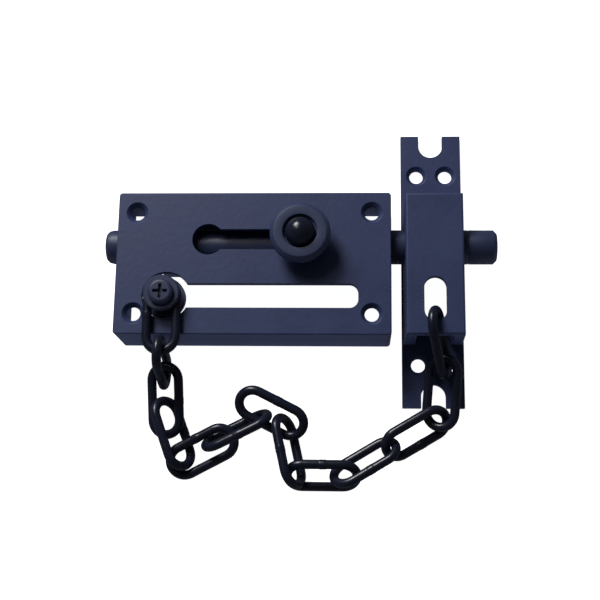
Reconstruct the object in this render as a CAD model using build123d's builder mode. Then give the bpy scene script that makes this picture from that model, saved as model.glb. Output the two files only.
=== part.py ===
"""Sliding door bolt with a security chain and the keep that both work with.

Frame, in millimetres: the origin is the middle of the case's screw pattern, on its back face.
+X runs along the bolt towards the keep, +Y is across the case, and +Z is out of its front face.
The assembly lies on its back, so the chain rests on the plane z = 0.
"""

from build123d import *
from math import cos, radians, sin
import os

os.makedirs("parts", exist_ok=True)

# --- case -----------------------------------------------------------------
CASE_LENGTH = 95.0
CASE_WIDTH = 50.6
CASE_DEPTH = 20.0
CASE_FACE = 2.5           # thickness of the front face
CASE_WALL = 2.3           # thickness of the four sides
CASE_CORNER = 1.2         # outer corner radius, seen from the front
CASE_EDGE = 0.5           # rounding of the front edges
SCREW_HOLE = 4.9          # wood screw clearance hole
SCREW_SINK = 7.6          # countersink mouth
SINK_ANGLE = 90.0
HOLE_INSET_X = 6.7        # screw hole to the end of the case
HOLE_INSET_Y = 7.3        # screw hole to the long side of the case
CASE_END = CASE_LENGTH / 2

# --- bolt -----------------------------------------------------------------
ROD_DIAMETER = 12.0
ROD_TAIL = 5.5            # what stands out of the case behind the bolt
ROD_NOSE = 11.2           # what stands out past the keep
ROD_CHAMFER = 1.2
ROD_Y = 8.3               # bolt axis, above the middle of the case
ROD_Z = CASE_DEPTH / 2
RUNNING_FIT = 0.08        # radial clearance of the rod in the case
RIB_WALL = 2.0            # guide ribs beside the rod, inside the case
RIB_GAP = 0.3             # rod to rib
RIB_LENGTH = 60.0
RIB_MIDDLE = 51.0         # middle of the ribs, from the keep's end of the case

# --- knob -----------------------------------------------------------------
STEM_DIAMETER = 6.6
STEM_SHANK = 4.0          # threaded end of the stem, in the rod
STEM_SHANK_DEPTH = 6.0
STEM_X = CASE_END - 31.0
SLOT_SIDE_GAP = 0.3       # stem to slot, each side
KNOB_KEYHOLE = 11.0       # round end of the upper slot
KNOB_KEYHOLE_X = CASE_END - 63.2
DISC_DIAMETER = 20.6
DISC_THICKNESS = 3.6
DISC_BEVEL = 1.3
DISC_TOP = 10.0           # front of the disc, above the case
DISC_RECESS = 11.6        # round recess around the ball
DISC_RECESS_DEPTH = 1.6
BALL_DIAMETER = 10.4
SPIGOT_DIAMETER = 4.0     # end of the stem that carries the disc and the ball

# --- chain slot and stud ---------------------------------------------------
CHAIN_SLOT_WIDTH = 8.4
CHAIN_SLOT_Y = -11.75
CHAIN_SLOT_END = CASE_END - 11.3
CHAIN_SLOT_CORNER = 3.0
CHAIN_KEYHOLE = 16.6      # round end, where the stud's flange goes in
CHAIN_KEYHOLE_X = CASE_END - 77.2
STUD_X = CASE_END - 78.0
STUD_FLANGE = 14.4
STUD_FLANGE_THICKNESS = 2.2
STUD_PLAY = 0.3           # flange to case, and shoulder to front face
STUD_SIDE_GAP = 0.35      # stud neck to slot, each side
STUD_DROP = 0.2           # how far the stud hangs below the middle of the slot
STUD_SEAT = 5.0           # narrower part that the first link sits on
STUD_SEAT_LENGTH = 3.7
STUD_SCREW = 3.0
WASHER_DIAMETER = 12.5
WASHER_THICKNESS = 1.3
WASHER_BORE = 3.3
SCREW_HEAD = 8.6
SCREW_HEAD_HEIGHT = 2.4
SCREW_GRIP = 6.0          # length of the screw in the stud
CROSS_LENGTH = 5.0
CROSS_WIDTH = 1.1
CROSS_DEPTH = 1.4

# --- keep -----------------------------------------------------------------
KEEP_GAP = 4.1            # case to keep
KEEP_Y = 2.8
KEEP_LENGTH = 100.2
KEEP_WIDTH = 21.6
KEEP_X = CASE_END + KEEP_GAP + KEEP_WIDTH / 2
KEEP_FLANGE = 2.5
KEEP_BOX_WIDTH = 20.6
KEEP_BOX_LENGTH = 50.8
KEEP_BOX_Y = 0.1
KEEP_HEIGHT = CASE_DEPTH
KEEP_WALL = 2.3
KEEP_FACE = 2.5
KEEP_DRAFT = 1.0          # side lean of the box, in degrees
KEEP_EDGE = 0.8
KEEP_BORE_GAP = 0.45      # radial clearance of the rod in the keep
KEEP_HOLES_X = 10.4
KEEP_HOLES_Y = 69.8
KEEP_HOLES_MIDDLE_Y = 2.6
KEEP_SINK = 7.4
NOTCH_WIDTH = 8.6
NOTCH_DEPTH = 8.2
BRIDGE_WIDTH = 5.1        # bar between the chain slot and the end of the box
CHAIN_EYE_WIDTH = 7.6
CHAIN_EYE_LENGTH = 15.4
WINDOW_WIDTH = 12.6       # opening in the lower end of the box, under the bridge
LEDGE = 5.0               # how far the lower flange runs on inside the box

# --- chain ----------------------------------------------------------------
WIRE = 3.2
LINK_LENGTH = 27.0
LINK_WIDTH = 13.2

# Where each link lies: its middle (x from the stud's axis, y, z), the way it points seen from the
# front, how steeply it climbs, and how far it is rolled about its own length, in degrees.
# Each hangs in the next with a little clearance, and lies on the plane or on its neighbours.
LINKS = [
    (0.0, -19.5, 21.9, -90, 0, 0),
    (-0.5, -34.0, 14.2, -92, -75, 90),
    (0.0, -45.8, 6.0, -88, -12, 15),
    (3.0, -57.2, 5.6, -70, 0, -48),
    (13.2, -63.3, 4.8, 27, 7, 15),
    (25.1, -56.2, 7.0, 26, 5, -64),
    (37.1, -50.4, 8.9, -26, -6, 30),
    (43.1, -63.1, 7.0, -77, 7, -60),
    (54.6, -71.2, 5.5, 0, 0, 47),
    (69.1, -66.6, 6.1, 31, 0, -46),
    (86.6, -56.5, 5.4, 31, -4, 39),
    (95.4, -42.8, 8.0, 86, 13, -20),
    (94.5, -27.0, 15.3, 105, 36, 65),
]

CASE_FRONT = CASE_DEPTH
FACE_BACK = CASE_DEPTH - CASE_FACE


def face_plane(height):
    """A plane parallel to the front face, at this height over the backs."""
    return Plane.XY.offset(height)


def across(x):
    """A plane square to the bolt, at this place along it, with its own +Y along +Z."""
    return Plane((x, 0, 0), x_dir=(0, 1, 0), z_dir=(1, 0, 0))


# --- case: an open-backed box with two keyhole slots --------------------------
with BuildPart() as bolt_case:
    with BuildSketch(face_plane(0)):
        RectangleRounded(CASE_LENGTH, CASE_WIDTH, CASE_CORNER)
    extrude(amount=CASE_DEPTH)
    fillet(bolt_case.faces().sort_by(Axis.Z)[-1].edges(), CASE_EDGE)
    with BuildSketch(face_plane(0)):
        Rectangle(CASE_LENGTH - 2 * CASE_WALL, CASE_WIDTH - 2 * CASE_WALL)
    extrude(amount=FACE_BACK, mode=Mode.SUBTRACT)
    with Locations(face_plane(CASE_DEPTH)):
        with GridLocations(CASE_LENGTH - 2 * HOLE_INSET_X, CASE_WIDTH - 2 * HOLE_INSET_Y, 2, 2):
            CounterSinkHole(SCREW_HOLE / 2, SCREW_SINK / 2, CASE_FACE, SINK_ANGLE)
    # a rib on each side of the bolt, down to the back
    with BuildSketch(face_plane(0)):
        with Locations((CASE_END - RIB_MIDDLE, ROD_Y)):
            with GridLocations(0, ROD_DIAMETER + 2 * RIB_GAP + RIB_WALL, 1, 2):
                Rectangle(RIB_LENGTH, RIB_WALL)
    extrude(amount=FACE_BACK)
    # the bolt runs through both ends
    with BuildSketch(across(-CASE_LENGTH / 2)):
        with Locations((ROD_Y, ROD_Z)):
            Circle(ROD_DIAMETER / 2 + RUNNING_FIT)
    extrude(amount=CASE_LENGTH, mode=Mode.SUBTRACT)
    # upper keyhole slot, for the knob's stem
    stem_slot = STEM_DIAMETER + 2 * SLOT_SIDE_GAP
    stem_slot_end = STEM_X + SLOT_SIDE_GAP
    with BuildSketch(face_plane(FACE_BACK)):
        with Locations((KNOB_KEYHOLE_X, ROD_Y)):
            Circle(KNOB_KEYHOLE / 2)
        with Locations(((KNOB_KEYHOLE_X + stem_slot_end) / 2, ROD_Y)):
            SlotCenterToCenter(stem_slot_end - KNOB_KEYHOLE_X, stem_slot)
    extrude(amount=CASE_FACE, mode=Mode.SUBTRACT)
    # lower keyhole slot, for the chain stud
    chain_slot_length = CHAIN_SLOT_END - CHAIN_KEYHOLE_X
    with BuildSketch(face_plane(FACE_BACK)):
        with Locations((CHAIN_KEYHOLE_X, CHAIN_SLOT_Y)):
            Circle(CHAIN_KEYHOLE / 2)
        with Locations((CHAIN_SLOT_END - chain_slot_length / 2, CHAIN_SLOT_Y)):
            RectangleRounded(chain_slot_length, CHAIN_SLOT_WIDTH, CHAIN_SLOT_CORNER)
    extrude(amount=CASE_FACE, mode=Mode.SUBTRACT)
bolt_case.part.label = "bolt_case"
export_step(bolt_case.part, "parts/bolt_case.step")

# --- bolt: a round rod with the knob's stem screwed into it -------------------
ROD_START = -CASE_END - ROD_TAIL
ROD_LENGTH = ROD_TAIL + CASE_LENGTH + KEEP_GAP + KEEP_WIDTH + ROD_NOSE
with BuildPart() as bolt_rod:
    with BuildSketch(across(ROD_START)):
        with Locations((ROD_Y, ROD_Z)):
            Circle(ROD_DIAMETER / 2)
    extrude(amount=ROD_LENGTH)
    rod_ends = bolt_rod.edges().filter_by(GeomType.CIRCLE)
    chamfer(rod_ends, ROD_CHAMFER)
    rod_top = ROD_Z + ROD_DIAMETER / 2
    with BuildSketch(face_plane(rod_top - STEM_SHANK_DEPTH)):
        with Locations((STEM_X, ROD_Y)):
            Circle(STEM_SHANK / 2)
    extrude(amount=STEM_SHANK_DEPTH, mode=Mode.SUBTRACT)
    # flat that the stem's shoulder sits on
    with BuildSketch(face_plane(rod_top - ROD_CHAMFER)):
        with Locations((STEM_X, ROD_Y)):
            Circle(STEM_DIAMETER / 2 + SLOT_SIDE_GAP)
    extrude(amount=ROD_CHAMFER, mode=Mode.SUBTRACT)
bolt_rod.part.label = "bolt_rod"
export_step(bolt_rod.part, "parts/bolt_rod.step")

DISC_FRONT = CASE_FRONT + DISC_TOP
DISC_BACK = DISC_FRONT - DISC_THICKNESS
STEM_FOOT = rod_top - ROD_CHAMFER
knob_axis = Plane((STEM_X, ROD_Y, 0), x_dir=(1, 0, 0), z_dir=(0, -1, 0))

# The stem: threaded shank, shoulder in the slot, and a spigot through the disc into the ball.
recess_floor = DISC_FRONT - DISC_RECESS_DEPTH
with BuildPart() as knob_stem:
    with BuildSketch(knob_axis):
        with BuildLine():
            Polyline(
                (0, rod_top - STEM_SHANK_DEPTH),
                (STEM_SHANK / 2, rod_top - STEM_SHANK_DEPTH),
                (STEM_SHANK / 2, STEM_FOOT),
                (STEM_DIAMETER / 2, STEM_FOOT),
                (STEM_DIAMETER / 2, DISC_BACK),
                (SPIGOT_DIAMETER / 2, DISC_BACK),
                (SPIGOT_DIAMETER / 2, DISC_FRONT),
                (0, DISC_FRONT),
                close=True,
            )
        make_face()
    revolve(axis=Axis(knob_axis.origin, (0, 0, 1)))
knob_stem.part.label = "knob_stem"
export_step(knob_stem.part, "parts/knob_stem.step")

with BuildPart() as knob_disc:
    with BuildSketch(face_plane(DISC_BACK)):
        with Locations((STEM_X, ROD_Y)):
            Circle(DISC_DIAMETER / 2)
            Circle(SPIGOT_DIAMETER / 2, mode=Mode.SUBTRACT)
    extrude(amount=DISC_THICKNESS)
    disc_rim = knob_disc.faces().sort_by(Axis.Z)[-1].outer_wire().edges()
    chamfer(disc_rim, DISC_BEVEL)
    with BuildSketch(face_plane(recess_floor)):
        with Locations((STEM_X, ROD_Y)):
            Circle(DISC_RECESS / 2)
    extrude(amount=DISC_RECESS_DEPTH, mode=Mode.SUBTRACT)
knob_disc.part.label = "knob_disc"
export_step(knob_disc.part, "parts/knob_disc.step")

# The ball: a short barrel with a domed front, bored for the spigot.
ball_radius = BALL_DIAMETER / 2
ball_top = recess_floor + ball_radius
with BuildPart() as knob_ball:
    with BuildSketch(knob_axis):
        with BuildLine():
            Polyline(
                (0, ball_top),
                (0, DISC_FRONT),
                (SPIGOT_DIAMETER / 2, DISC_FRONT),
                (SPIGOT_DIAMETER / 2, recess_floor),
                (ball_radius, recess_floor),
            )
            TangentArc((ball_radius, recess_floor), (0, ball_top), tangent=(0, 1))
        make_face()
    revolve(axis=Axis(knob_axis.origin, (0, 0, 1)))
knob_ball.part.label = "knob_ball"
export_step(knob_ball.part, "parts/knob_ball.step")

# --- chain stud: flange behind the slot, neck in it, seat for the first link ---
STUD_Y = CHAIN_SLOT_Y - STUD_DROP
neck_diameter = CHAIN_SLOT_WIDTH - 2 * STUD_SIDE_GAP
flange_top = FACE_BACK - STUD_PLAY
flange_bottom = flange_top - STUD_FLANGE_THICKNESS
shoulder = CASE_FRONT + STUD_PLAY
seat_top = shoulder + STUD_SEAT_LENGTH
screw_bottom = seat_top + WASHER_THICKNESS - SCREW_GRIP
stud_axis = Plane((STUD_X, STUD_Y, 0), x_dir=(1, 0, 0), z_dir=(0, -1, 0))
with BuildPart() as chain_stud:
    with BuildSketch(stud_axis):
        with BuildLine():
            Polyline(
                (0, flange_bottom),
                (STUD_FLANGE / 2, flange_bottom),
                (STUD_FLANGE / 2, flange_top),
                (neck_diameter / 2, flange_top),
                (neck_diameter / 2, shoulder),
                (STUD_SEAT / 2, shoulder),
                (STUD_SEAT / 2, seat_top),
                (STUD_SCREW / 2, seat_top),
                (STUD_SCREW / 2, screw_bottom),
                (0, screw_bottom),
                close=True,
            )
        make_face()
    revolve(axis=Axis(stud_axis.origin, (0, 0, 1)))
chain_stud.part.label = "chain_stud"
export_step(chain_stud.part, "parts/chain_stud.step")

washer_top = seat_top + WASHER_THICKNESS
with BuildPart() as chain_washer:
    with BuildSketch(face_plane(seat_top)):
        with Locations((STUD_X, STUD_Y)):
            Circle(WASHER_DIAMETER / 2)
            Circle(WASHER_BORE / 2, mode=Mode.SUBTRACT)
    extrude(amount=WASHER_THICKNESS)
    washer_rim = chain_washer.faces().sort_by(Axis.Z)[-1].outer_wire().edges()
    chamfer(washer_rim, WASHER_THICKNESS / 3)
chain_washer.part.label = "chain_washer"
export_step(chain_washer.part, "parts/chain_washer.step")

head_top = washer_top + SCREW_HEAD_HEIGHT
with BuildPart() as chain_screw:
    with BuildSketch(face_plane(screw_bottom)):
        with Locations((STUD_X, STUD_Y)):
            Circle(STUD_SCREW / 2)
    extrude(amount=SCREW_GRIP)
    with BuildSketch(face_plane(washer_top)):
        with Locations((STUD_X, STUD_Y)):
            Circle(SCREW_HEAD / 2)
    extrude(amount=SCREW_HEAD_HEIGHT)
    fillet(chain_screw.faces().sort_by(Axis.Z)[-1].edges(), SCREW_HEAD_HEIGHT / 2)
    with BuildSketch(face_plane(head_top - CROSS_DEPTH)):
        with Locations((STUD_X, STUD_Y)):
            Rectangle(CROSS_LENGTH, CROSS_WIDTH)
            Rectangle(CROSS_WIDTH, CROSS_LENGTH)
    extrude(amount=CROSS_DEPTH, mode=Mode.SUBTRACT)
chain_screw.part.label = "chain_screw"
export_step(chain_screw.part, "parts/chain_screw.step")

# --- keep: two screw flanges, and a hollow box that the bolt and chain enter ----
keep_front = KEEP_HEIGHT
keep_face_back = keep_front - KEEP_FACE
eye_top = KEEP_BOX_Y - KEEP_BOX_LENGTH / 2 + BRIDGE_WIDTH + CHAIN_EYE_LENGTH
eye_middle = eye_top - CHAIN_EYE_LENGTH / 2
box_end = KEEP_BOX_Y - KEEP_BOX_LENGTH / 2
with BuildPart() as keep_housing:
    with BuildSketch(face_plane(0)):
        with Locations((KEEP_X, KEEP_Y)):
            Rectangle(KEEP_WIDTH, KEEP_LENGTH)
    extrude(amount=KEEP_FLANGE)
    with BuildSketch(face_plane(0)):
        with Locations((KEEP_X, KEEP_BOX_Y)):
            Rectangle(KEEP_BOX_WIDTH, KEEP_BOX_LENGTH)
    extrude(amount=KEEP_HEIGHT, taper=KEEP_DRAFT)
    box_front = keep_housing.faces().sort_by(Axis.Z)[-1]
    fillet(box_front.edges(), KEEP_EDGE)
    with BuildSketch(face_plane(0)):
        with Locations((KEEP_X, KEEP_BOX_Y)):
            Rectangle(KEEP_BOX_WIDTH - 2 * KEEP_WALL, KEEP_BOX_LENGTH - 2 * KEEP_WALL)
    extrude(amount=keep_face_back, taper=KEEP_DRAFT, mode=Mode.SUBTRACT)
    # the lower flange runs on under the end of the hollow
    with BuildSketch(face_plane(0)):
        with Locations((KEEP_X, box_end + (KEEP_WALL + LEDGE) / 2)):
            Rectangle(KEEP_BOX_WIDTH, KEEP_WALL + LEDGE)
    extrude(amount=KEEP_FLANGE)
    with Locations(Plane((KEEP_X, KEEP_HOLES_MIDDLE_Y, KEEP_FLANGE))):
        with GridLocations(KEEP_HOLES_X, KEEP_HOLES_Y, 2, 2):
            CounterSinkHole(SCREW_HOLE / 2, KEEP_SINK / 2, KEEP_FLANGE, SINK_ANGLE)
    # U notch in each end
    for end in (-1, 1):
        notch_bottom = KEEP_Y + end * (KEEP_LENGTH / 2 - NOTCH_DEPTH + NOTCH_WIDTH / 2)
        with BuildSketch(face_plane(0)):
            with Locations((KEEP_X, notch_bottom + end * NOTCH_DEPTH / 2)):
                SlotCenterToCenter(NOTCH_DEPTH, NOTCH_WIDTH, rotation=90)
        extrude(amount=KEEP_FLANGE, mode=Mode.SUBTRACT)
    # the bolt enters one side of the box and leaves by the other
    with BuildSketch(across(KEEP_X - KEEP_WIDTH)):
        with Locations((ROD_Y, ROD_Z)):
            Circle(ROD_DIAMETER / 2 + KEEP_BORE_GAP)
    extrude(amount=2 * KEEP_WIDTH, mode=Mode.SUBTRACT)
    # chain eye in the front, and the window under the bridge that the last link comes out of
    with BuildSketch(face_plane(keep_face_back)):
        with Locations((KEEP_X, eye_middle)):
            SlotOverall(CHAIN_EYE_LENGTH, CHAIN_EYE_WIDTH, rotation=90)
    extrude(amount=KEEP_FACE, mode=Mode.SUBTRACT)
    with BuildSketch(face_plane(KEEP_FLANGE)):
        with Locations((KEEP_X, box_end)):
            Rectangle(WINDOW_WIDTH, 4 * KEEP_WALL)
    extrude(amount=keep_face_back - KEEP_FLANGE, mode=Mode.SUBTRACT)
keep_housing.part.label = "keep_housing"
export_step(keep_housing.part, "parts/keep_housing.step")

# --- chain: thirteen equal links of welded wire --------------------------------
bend = (LINK_WIDTH - WIRE) / 2
straight = LINK_LENGTH - LINK_WIDTH
with BuildPart() as link_form:
    for side in (-1, 1):
        with BuildSketch(Plane((-straight / 2, side * bend, 0), z_dir=(1, 0, 0))):
            Circle(WIRE / 2)
        extrude(amount=straight)
    for end in (-1, 1):
        with BuildSketch(Plane((end * straight / 2, bend, 0), z_dir=(1, 0, 0))):
            Circle(WIRE / 2)
        revolve(axis=Axis((end * straight / 2, 0, 0), (0, 0, -end)), revolution_arc=180)


def lying(pose):
    """The plane of a link that lies at this pose: its +X runs along the link."""
    from_stud, y, z, heading, climb, roll = pose
    turn, rise, lean = radians(heading), radians(climb), radians(roll)
    along = Vector(cos(turn) * cos(rise), sin(turn) * cos(rise), sin(rise))
    level_side = Vector(-sin(turn), cos(turn), 0)
    up = along.cross(level_side)
    face = up * cos(lean) - level_side * sin(lean)
    return Plane((STUD_X + from_stud, y, z), x_dir=along, z_dir=face)


for number, pose in enumerate(LINKS, start=1):
    link_name = f"chain_link_{number:02d}"
    with BuildPart(lying(pose)) as chain_link:
        add(link_form.part)
    chain_link.part.label = link_name
    export_step(chain_link.part, f"parts/{link_name}.step")
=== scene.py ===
# %% [markdown]
# # A door bolt with a security chain
#
# The object is a sliding bolt in a hollow cast case, a keep for the door frame, and a chain of
# welded wire links between them. The sizes and places of all its pieces come from the packed
# model, which is loaded first as a fixed frame. Blender adds the rounded edges, the wire's
# weld marks and the black coating.

# %% Load the frame
import math
import bpy
import numpy as np
from mathutils import Matrix, Vector


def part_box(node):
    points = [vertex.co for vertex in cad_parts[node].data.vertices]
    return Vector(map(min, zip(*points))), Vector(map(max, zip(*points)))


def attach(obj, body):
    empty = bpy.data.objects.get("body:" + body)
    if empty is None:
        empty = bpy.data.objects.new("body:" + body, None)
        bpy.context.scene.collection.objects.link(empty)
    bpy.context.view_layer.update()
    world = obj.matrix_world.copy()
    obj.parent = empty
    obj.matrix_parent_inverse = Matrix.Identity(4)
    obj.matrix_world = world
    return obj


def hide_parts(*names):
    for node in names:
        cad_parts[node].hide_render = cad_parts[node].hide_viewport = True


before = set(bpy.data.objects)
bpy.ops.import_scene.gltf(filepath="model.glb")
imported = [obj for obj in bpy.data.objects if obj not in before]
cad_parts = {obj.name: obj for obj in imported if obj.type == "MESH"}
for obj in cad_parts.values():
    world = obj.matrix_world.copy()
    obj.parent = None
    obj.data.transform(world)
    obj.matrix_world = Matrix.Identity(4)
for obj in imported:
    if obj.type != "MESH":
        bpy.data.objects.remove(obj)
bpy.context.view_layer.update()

MM = 0.001


def choose(piece):
    """Make this object the only one selected, because operators act on all that is selected."""
    if bpy.context.object and bpy.context.object.mode != "OBJECT":
        bpy.ops.object.mode_set(mode="OBJECT")
    bpy.ops.object.select_all(action="DESELECT")
    piece.select_set(True)
    bpy.context.view_layer.objects.active = piece


# %% [markdown]
# ## Camera
#
# The assembly lies on its back, and the camera hangs above it, a little to the side of the chain.
# A lens of about 69 mm on a 36 mm sensor gives the gentle perspective of a catalogue view. The
# tilt is set with the ZYX order, so that the camera first rolls, then turns, then tips.

# %% Hang the camera over the bolt
bpy.ops.object.select_all(action="DESELECT")
bpy.ops.object.camera_add(location=(0.0352, -0.1060, 0.3972))
camera = bpy.context.object
camera.rotation_mode = "ZYX"
camera.rotation_euler = (math.radians(13.81), math.radians(2.77), math.radians(0.14))
camera.data.sensor_width = 36
camera.data.lens = 68.6
camera.data.clip_start = 0.01
bpy.context.scene.camera = camera

# %% [markdown]
# ## Light and floor
#
# Small dark hardware is shown on a white light table here, which glows through every slot and
# hole and leaves no shadow around it. The floor is such a table: a pale matt sheet that also
# gives out light, kept out of reflections so that it doesn't wash out the dark sides. A soft
# light over the far left falls across the fronts, so the knob and the keep's box shade what lies
# beyond them. A smaller and weaker one, over the near left, draws a highlight along each wire.

# %% Build the light table and two soft lights
TABLE_WHITE = (0.93, 0.93, 0.93, 1)


def soft_light(name, place, target, size, power):
    """A square area light that points at a target."""
    bpy.ops.object.light_add(type="AREA", location=place)
    lamp = bpy.context.object
    lamp.name = name
    lamp.data.size = size
    lamp.data.energy = power
    lamp.rotation_euler = (Vector(target) - Vector(place)).to_track_quat("-Z", "Y").to_euler()
    return lamp


bpy.ops.mesh.primitive_plane_add(size=4, location=(0, 0, -0.0002))
table = bpy.context.object
table.name = "light_table"
table_sheet = bpy.data.materials.new("opal_acrylic_sheet")
table_sheet.use_nodes = True
sheet_shader = table_sheet.node_tree.nodes["Principled BSDF"]
sheet_shader.inputs["Base Color"].default_value = TABLE_WHITE
sheet_shader.inputs["Roughness"].default_value = 0.7
sheet_shader.inputs["Emission Color"].default_value = TABLE_WHITE
sheet_shader.inputs["Emission Strength"].default_value = 1.05
table.data.materials.append(table_sheet)
table.visible_glossy = False

middle = (0.015, -0.01, 0.01)
soft_light("key_light", (-0.36, 0.68, 0.56), middle, 0.35, 8.2)
soft_light("fill_light", (-0.20, 0.26, 0.50), middle, 0.14, 0.4)
world = bpy.data.worlds.new("studio")
world.use_nodes = True
world.node_tree.nodes["Background"].inputs["Color"].default_value = (1, 1, 1, 1)
world.node_tree.nodes["Background"].inputs["Strength"].default_value = 0.07
bpy.context.scene.world = world
bpy.context.scene.view_settings.view_transform = "Standard"

# %% [markdown]
# ## Black coatings
#
# The castings carry a satin powder coat: ground resin, sprayed on dry and baked. It flows into a
# skin with a faint ripple, like orange peel, and its blue-black pigment looks navy where light
# falls on it. The chain is dipped in a thinner black enamel, which stays glossier and gathers
# in the corners of the wire. Both are resin over metal, so the shader is not metallic, with an
# IOR near 1.5. The ripple of the coats is 1.6 to 3 mm across, which is wide enough to see, and the
# grain of dust in it is finer.


# %% Two helpers for materials
def srgb(text):
    """A hex colour turned into the linear values that shaders use."""
    steps = [int(text[i:i + 2], 16) / 255 for i in (1, 3, 5)]
    linear = [s / 12.92 if s <= 0.04045 else ((s + 0.055) / 1.055) ** 2.4 for s in steps]
    return (*linear, 1)


def add(tree, kind, links=(), values=(), **settings):
    """A new node, with its settings, socket values, and links from other nodes' outputs."""
    node = tree.nodes.new(kind)
    for name, value in settings.items():
        setattr(node, name, value)
    for socket, value in dict(values).items():
        node.inputs[socket].default_value = value
    for socket, source in dict(links).items():
        tree.links.new(source, node.inputs[socket])
    return node


# %% Powder coat and dipped enamel
def black_coat(name, deep, bright, roughness, ripple_mm, ripple_depth_mm, dust):
    """A resin coat with a rippled skin: its colour and gloss vary a little from place to place."""
    coat = bpy.data.materials.new(name)
    coat.use_nodes = True
    tree = coat.node_tree
    shader = tree.nodes["Principled BSDF"]
    shader.inputs["IOR"].default_value = 1.5
    shader.inputs["Specular IOR Level"].default_value = 0.35
    place = add(tree, "ShaderNodeTexCoord").outputs["Object"]
    ripple = add(tree, "ShaderNodeTexNoise", {"Vector": place},
                 {"Scale": 1 / (ripple_mm * MM), "Detail": 2, "Roughness": 0.45})
    grain = add(tree, "ShaderNodeTexNoise", {"Vector": place},
                {"Scale": 1 / (0.35 * MM), "Detail": 1})
    cloud = add(tree, "ShaderNodeTexNoise", {"Vector": place},
                {"Scale": 1 / (14 * MM), "Detail": 4, "Roughness": 0.6})
    tone = add(tree, "ShaderNodeMix", {0: cloud.outputs["Fac"]}, data_type="RGBA")
    tone.inputs["A"].default_value = srgb(deep)
    tone.inputs["B"].default_value = srgb(bright)
    gloss = add(tree, "ShaderNodeMapRange", {"Value": cloud.outputs["Fac"]},
                {"From Min": 0.3, "From Max": 0.7,
                 "To Min": roughness - 0.05, "To Max": roughness + 0.06})
    skin = add(tree, "ShaderNodeBump", {"Height": ripple.outputs["Fac"]},
               {"Strength": 1.0, "Distance": ripple_depth_mm * MM})
    dusty = add(tree, "ShaderNodeBump",
                {"Height": grain.outputs["Fac"], "Normal": skin.outputs["Normal"]},
                {"Strength": dust, "Distance": 0.03 * MM})
    tree.links.new(tone.outputs["Result"], shader.inputs["Base Color"])
    tree.links.new(gloss.outputs["Result"], shader.inputs["Roughness"])
    tree.links.new(dusty.outputs["Normal"], shader.inputs["Normal"])
    return coat


cast_coat = black_coat("powder_coated_zinc", "#2A3357", "#343F66", 0.5, 1.6, 0.05, 0.5)
turned_coat = black_coat("powder_coated_turned_steel", "#242B46", "#2E3654", 0.42, 2.2, 0.03, 0.3)
knob_coat = black_coat("satin_painted_zinc", "#252D4B", "#2E3858", 0.46, 2.2, 0.03, 0.3)
chain_coat = black_coat("dipped_black_enamel", "#10131F", "#1B2033", 0.26, 3.0, 0.06, 0.15)
print("coats:", [coat.name for coat in (cast_coat, turned_coat, knob_coat, chain_coat)])


# %% [markdown]
# ## Finishing a piece
#
# Each new piece takes the place of one node of the model: it rides on the same body and gets a
# real coat. One function does that for all of them. The finished object stays at the origin, with
# its place in its mesh.


# %% Hand a piece over to its body
def finish_piece(piece, name, body, node, coat, smooth_angle=35):
    """Apply the piece's place to its mesh, smooth it, coat it, and put it on its body."""
    choose(piece)
    piece.name = name
    bpy.ops.object.transform_apply(location=True, rotation=True, scale=True)
    bpy.ops.object.shade_smooth_by_angle(angle=math.radians(smooth_angle))
    piece.data.materials.clear()
    piece.data.materials.append(coat)
    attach(piece, body)
    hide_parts(node)
    lo, hi = (np.array([v.co for v in piece.data.vertices]).min(0),
              np.array([v.co for v in piece.data.vertices]).max(0))
    want_lo, want_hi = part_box(node)
    off = max(abs(lo - want_lo).max(), abs(hi - want_hi).max()) / MM
    print(f"{name}: {len(piece.data.polygons)} faces, within {off:.2f} mm of its node")
    return piece


# %% [markdown]
# ## The two castings
#
# The case and the keep are die castings with thin walls, keyhole slots and countersunk holes.
# The model already has all of that exactly, so a copy of each node is the start: its triangles
# are merged into whole faces, and a Bevel modifier rounds every sharp edge, as a mould and a coat
# of paint do. The rounding is what catches the light along the rims of slots and holes.


# %% Soften a copy of a casting
def softened(node, round_mm):
    """A copy of a node with merged faces and rounded edges."""
    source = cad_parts[node]
    piece = source.copy()
    piece.data = source.data.copy()
    bpy.context.collection.objects.link(piece)
    piece.parent = None
    piece.matrix_world = Matrix.Identity(4)
    choose(piece)
    bpy.ops.object.mode_set(mode="EDIT")
    bpy.ops.mesh.select_all(action="SELECT")
    bpy.ops.mesh.remove_doubles(threshold=0.001 * MM)
    bpy.ops.mesh.dissolve_limited(angle_limit=math.radians(0.5))
    bpy.ops.object.mode_set(mode="OBJECT")
    bevel = piece.modifiers.new("soft_edges", "BEVEL")
    bevel.width = round_mm * MM
    bevel.segments = 3
    bevel.limit_method = "ANGLE"
    bevel.angle_limit = math.radians(32)
    bevel.harden_normals = False
    bpy.ops.object.modifier_apply(modifier=bevel.name)
    return piece


def keep_faces_flat(piece):
    """Let the wide faces set the normals, so that the rounding stays in the narrow strips."""
    choose(piece)
    weigh = piece.modifiers.new("flat_faces", "WEIGHTED_NORMAL")
    weigh.keep_sharp = True
    bpy.ops.object.modifier_apply(modifier=weigh.name)


CAST_ROUND = 0.35
for name, node in {"case": "bolt_case", "keep": "keep_housing"}.items():
    casting = finish_piece(softened(node, CAST_ROUND), name, name, node, cast_coat)
    keep_faces_flat(casting)

# %% [markdown]
# ## Turned pieces
#
# The bolt and the knob's disc and ball are turned in a lathe, so each is one outline taken round
# an axis. By hand that is a circle, extruded and scaled ring by ring. The function below follows
# an outline of radius and height pairs, given in millimetres, and a Bevel modifier breaks the
# corners the tool would leave. The stem, the stud, the washer and the screw keep the model's own
# meshes.


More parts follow.
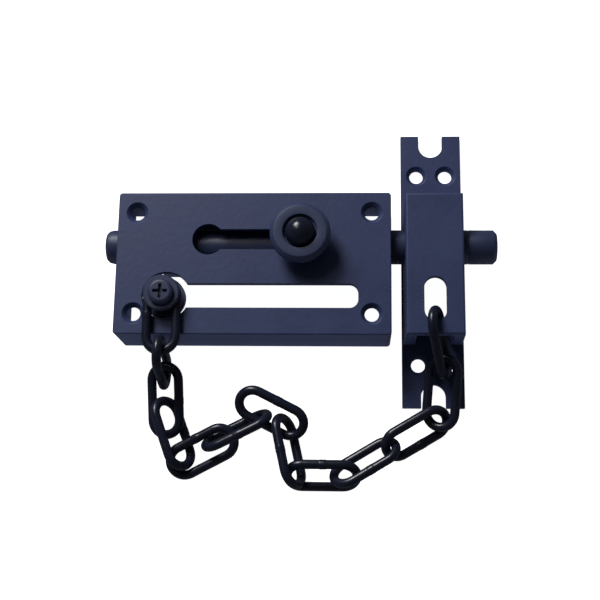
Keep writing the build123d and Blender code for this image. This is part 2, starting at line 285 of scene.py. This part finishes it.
# %% A lathe made of extrude and resize
def turn(outline, x, y, sides=96, ring_closed=False):
    """Extrude a circle up through an outline of (radius, height) pairs about a vertical axis."""
    radius, height = outline[0]
    bpy.ops.object.select_all(action="DESELECT")
    bpy.ops.mesh.primitive_circle_add(vertices=sides, radius=radius * MM, location=(x, y, height * MM))
    piece = bpy.context.object
    choose(piece)
    bpy.ops.object.transform_apply(location=True, rotation=True, scale=True)
    bpy.ops.object.mode_set(mode="EDIT")
    bpy.ops.mesh.select_all(action="SELECT")
    for next_radius, next_height in outline[1:]:
        lift = (next_height - height) * MM
        bpy.ops.mesh.extrude_region_move(TRANSFORM_OT_translate={"value": (0, 0, lift)})
        grow = next_radius / radius
        bpy.ops.transform.resize(value=(grow, grow, 1), center_override=(x, y, next_height * MM))
        radius, height = next_radius, next_height
    bpy.ops.mesh.select_all(action="SELECT")
    bpy.ops.mesh.remove_doubles(threshold=0.001 * MM)
    if not ring_closed:
        bpy.ops.mesh.fill_holes(sides=0)
    bpy.ops.mesh.select_all(action="SELECT")
    bpy.ops.mesh.normals_make_consistent(inside=False)
    bpy.ops.object.mode_set(mode="OBJECT")
    return piece


def break_corners(piece, width_mm, angle=30, segments=3):
    """Round the sharp rings of a turned piece."""
    choose(piece)
    bevel = piece.modifiers.new("broken_corners", "BEVEL")
    bevel.width = width_mm * MM
    bevel.segments = segments
    bevel.limit_method = "ANGLE"
    bevel.angle_limit = math.radians(angle)
    bpy.ops.object.modifier_apply(modifier=bevel.name)
    return piece


def middle_of(node):
    """The middle of a node's box."""
    low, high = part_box(node)
    return (low + high) / 2


# %% [markdown]
# ## Knob
#
# The knob is a bevelled disc with a round recess, and a small ball stands in the recess. The
# recess keeps a dark ring round the ball, which is what makes the knob readable from the front,
# so the disc is turned with its real recess and not a painted ring.

# %% Turn the disc and the ball
knob_x, knob_y, _ = middle_of("knob_disc")
disc_low, disc_high = (corner.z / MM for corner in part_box("knob_disc"))
disc_r = (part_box("knob_disc")[1].x - knob_x) / MM
ball_low, ball_high = (corner.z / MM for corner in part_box("knob_ball"))
ball_r = (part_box("knob_ball")[1].x - knob_x) / MM
SPIGOT_R = 2.0
RECESS_R = 5.8
RECESS_LIP = 0.2
BEVEL = 1.3

disc = turn([(SPIGOT_R, disc_low), (disc_r, disc_low), (disc_r, disc_high - BEVEL),
             (disc_r - BEVEL, disc_high), (RECESS_R + RECESS_LIP, disc_high),
             (RECESS_R, disc_high - RECESS_LIP),
             (RECESS_R, ball_low), (SPIGOT_R, ball_low), (SPIGOT_R, disc_low)],
            knob_x, knob_y, ring_closed=True)
DISC_BREAK = 0.25
finish_piece(break_corners(disc, DISC_BREAK), "knob_disc_turned", "bolt", "knob_disc",
             knob_coat)

DOME_STEPS = 14
dome = [(ball_r * math.cos(math.pi / 2 * i / DOME_STEPS),
         ball_low + (ball_high - ball_low) * math.sin(math.pi / 2 * i / DOME_STEPS))
        for i in range(DOME_STEPS)]
ball = turn([(SPIGOT_R, ball_low)] + dome + [(0.05, ball_high)], knob_x, knob_y)
finish_piece(ball, "knob_ball_turned", "bolt", "knob_ball", chain_coat, 50)

# %% [markdown]
# ## Bolt
#
# The bolt is a drawn rod with a shallow groove behind its nose. Its tail is rounded off, and its
# nose is chamfered so that it finds the keep's bore. Because the rod lies along X, it is turned
# upright first and then laid down before its place is applied.

# %% Turn the rod and lay it along X
rod_low, rod_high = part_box("bolt_rod")
rod_axis = (rod_low + rod_high) / 2
rod_length = (rod_high.x - rod_low.x) / MM
rod_r = (rod_high.z - rod_low.z) / 2 / MM
NOSE = 1.2
GROOVE_DEPTH = 0.12
ROD_BREAK = 0.15
nose_start = rod_length - NOSE
rod = turn([(rod_r - 2.6, 0), (rod_r - 1.2, 0.35), (rod_r - 0.35, 1.2), (rod_r, 2.6),
            (rod_r, nose_start - 9.0), (rod_r - GROOVE_DEPTH, nose_start - 8.9),
            (rod_r - GROOVE_DEPTH, nose_start - 8.5), (rod_r, nose_start - 8.4),
            (rod_r, nose_start), (rod_r - NOSE, rod_length)], 0, 0)
choose(rod)
rod_start = Matrix.Translation((rod_low.x, rod_axis.y, rod_axis.z))
rod.matrix_world = rod_start @ Matrix.Rotation(math.pi / 2, 4, "Y")
finish_piece(break_corners(rod, ROD_BREAK), "bolt_rod_turned", "bolt", "bolt_rod",
             turned_coat)

# %% [markdown]
# ## Chain links
#
# A link is a length of round wire, bent to a loop and welded shut in the middle of one side. The
# weld is a little thicker than the wire, and a bead is left round it. By hand this is one circle
# that is extruded along a straight side and spun round each end, until it meets itself. Each
# link of the chain is a copy of that loop, laid where its node lies: the node's long, wide and
# thin directions are read from its own points.

# %% Bend one link from a circle of wire
WIRE_SIDES = 20
BEND_STEPS = 18
first_low, first_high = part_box("chain_link_01")
link_width, link_length, wire_diameter = first_high - first_low
wire_r = wire_diameter / 2
bend_r = link_width / 2 - wire_r
straight = link_length - link_width


def pull(distance, swell=1.0, middle=(0, 0, 0)):
    """Draw the selected ring of wire along X, and swell or shrink it about its middle."""
    bpy.ops.mesh.extrude_region_move(TRANSFORM_OT_translate={"value": (distance, 0, 0)})
    bpy.ops.transform.resize(value=(1, swell, swell), center_override=middle)


bpy.ops.object.select_all(action="DESELECT")
bpy.ops.mesh.primitive_circle_add(vertices=WIRE_SIDES, radius=wire_r,
                                  location=(-straight / 2, bend_r, 0), rotation=(0, math.pi / 2, 0))
link = bpy.context.object
choose(link)
bpy.ops.object.transform_apply(location=True, rotation=True, scale=True)
bpy.ops.object.mode_set(mode="EDIT")
bpy.ops.mesh.select_all(action="SELECT")
weld_steps = [(0.36, 1.0), (0.05, 1.03), (0.03, 1.05), (0.03, 0.96), (0.06, 1.04), (0.03, 0.95),
              (0.03, 0.985), (0.05, 0.995), (0.36, 1.0)]
drawn = sum(share for share, _ in weld_steps)
at = -straight / 2
for share, swell in weld_steps:
    distance = straight * share / drawn
    at += distance
    pull(distance, swell, (at, bend_r, 0))
bpy.ops.mesh.spin(steps=BEND_STEPS, angle=math.pi, center=(straight / 2, 0, 0), axis=(0, 0, 1))
for _ in range(3):
    pull(-straight / 3)
bpy.ops.mesh.spin(steps=BEND_STEPS, angle=math.pi, center=(-straight / 2, 0, 0), axis=(0, 0, 1))
bpy.ops.mesh.select_all(action="SELECT")
bpy.ops.mesh.remove_doubles(threshold=0.02 * MM)
bpy.ops.mesh.normals_make_consistent(inside=False)
bpy.ops.object.mode_set(mode="OBJECT")
bpy.ops.object.shade_smooth()
print("one link:", len(link.data.polygons), "faces,", [round(s / MM, 2) for s in link.dimensions], "mm")


# %% Lay a copy where each node lies
def laid_like(node):
    """The place of a link: its axes are the long, wide and thin directions of the node's points."""
    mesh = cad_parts[node].data
    points = np.array([v.co for v in mesh.vertices])
    points = np.unique(points.round(7), axis=0)
    spread, axes = np.linalg.eigh(np.cov((points - points.mean(0)).T))
    along, across = axes[:, 2], axes[:, 1]
    turned = np.array([along, across, np.cross(along, across)]).T
    laid = points @ turned
    centre = turned @ ((laid.min(0) + laid.max(0)) / 2)
    place = Matrix.Identity(4)
    for row in range(3):
        for column in range(3):
            place[row][column] = turned[row][column]
        place[row][3] = centre[row]
    return place


link_nodes = sorted(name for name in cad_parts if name.startswith("chain_link_"))
for node in link_nodes:
    copy = link.copy()
    copy.data = link.data.copy()
    bpy.context.collection.objects.link(copy)
    copy.matrix_world = laid_like(node)
    number = node[-2:]
    finish_piece(copy, f"link_{number}", f"link_{number}_body", node, chain_coat, 60)
bpy.data.objects.remove(link)

# %% Coat the nodes that stay as they are
for node in ("knob_stem", "chain_stud", "chain_washer", "chain_screw"):
    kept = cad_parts[node]
    kept.data.materials.clear()
    kept.data.materials.append(turned_coat)
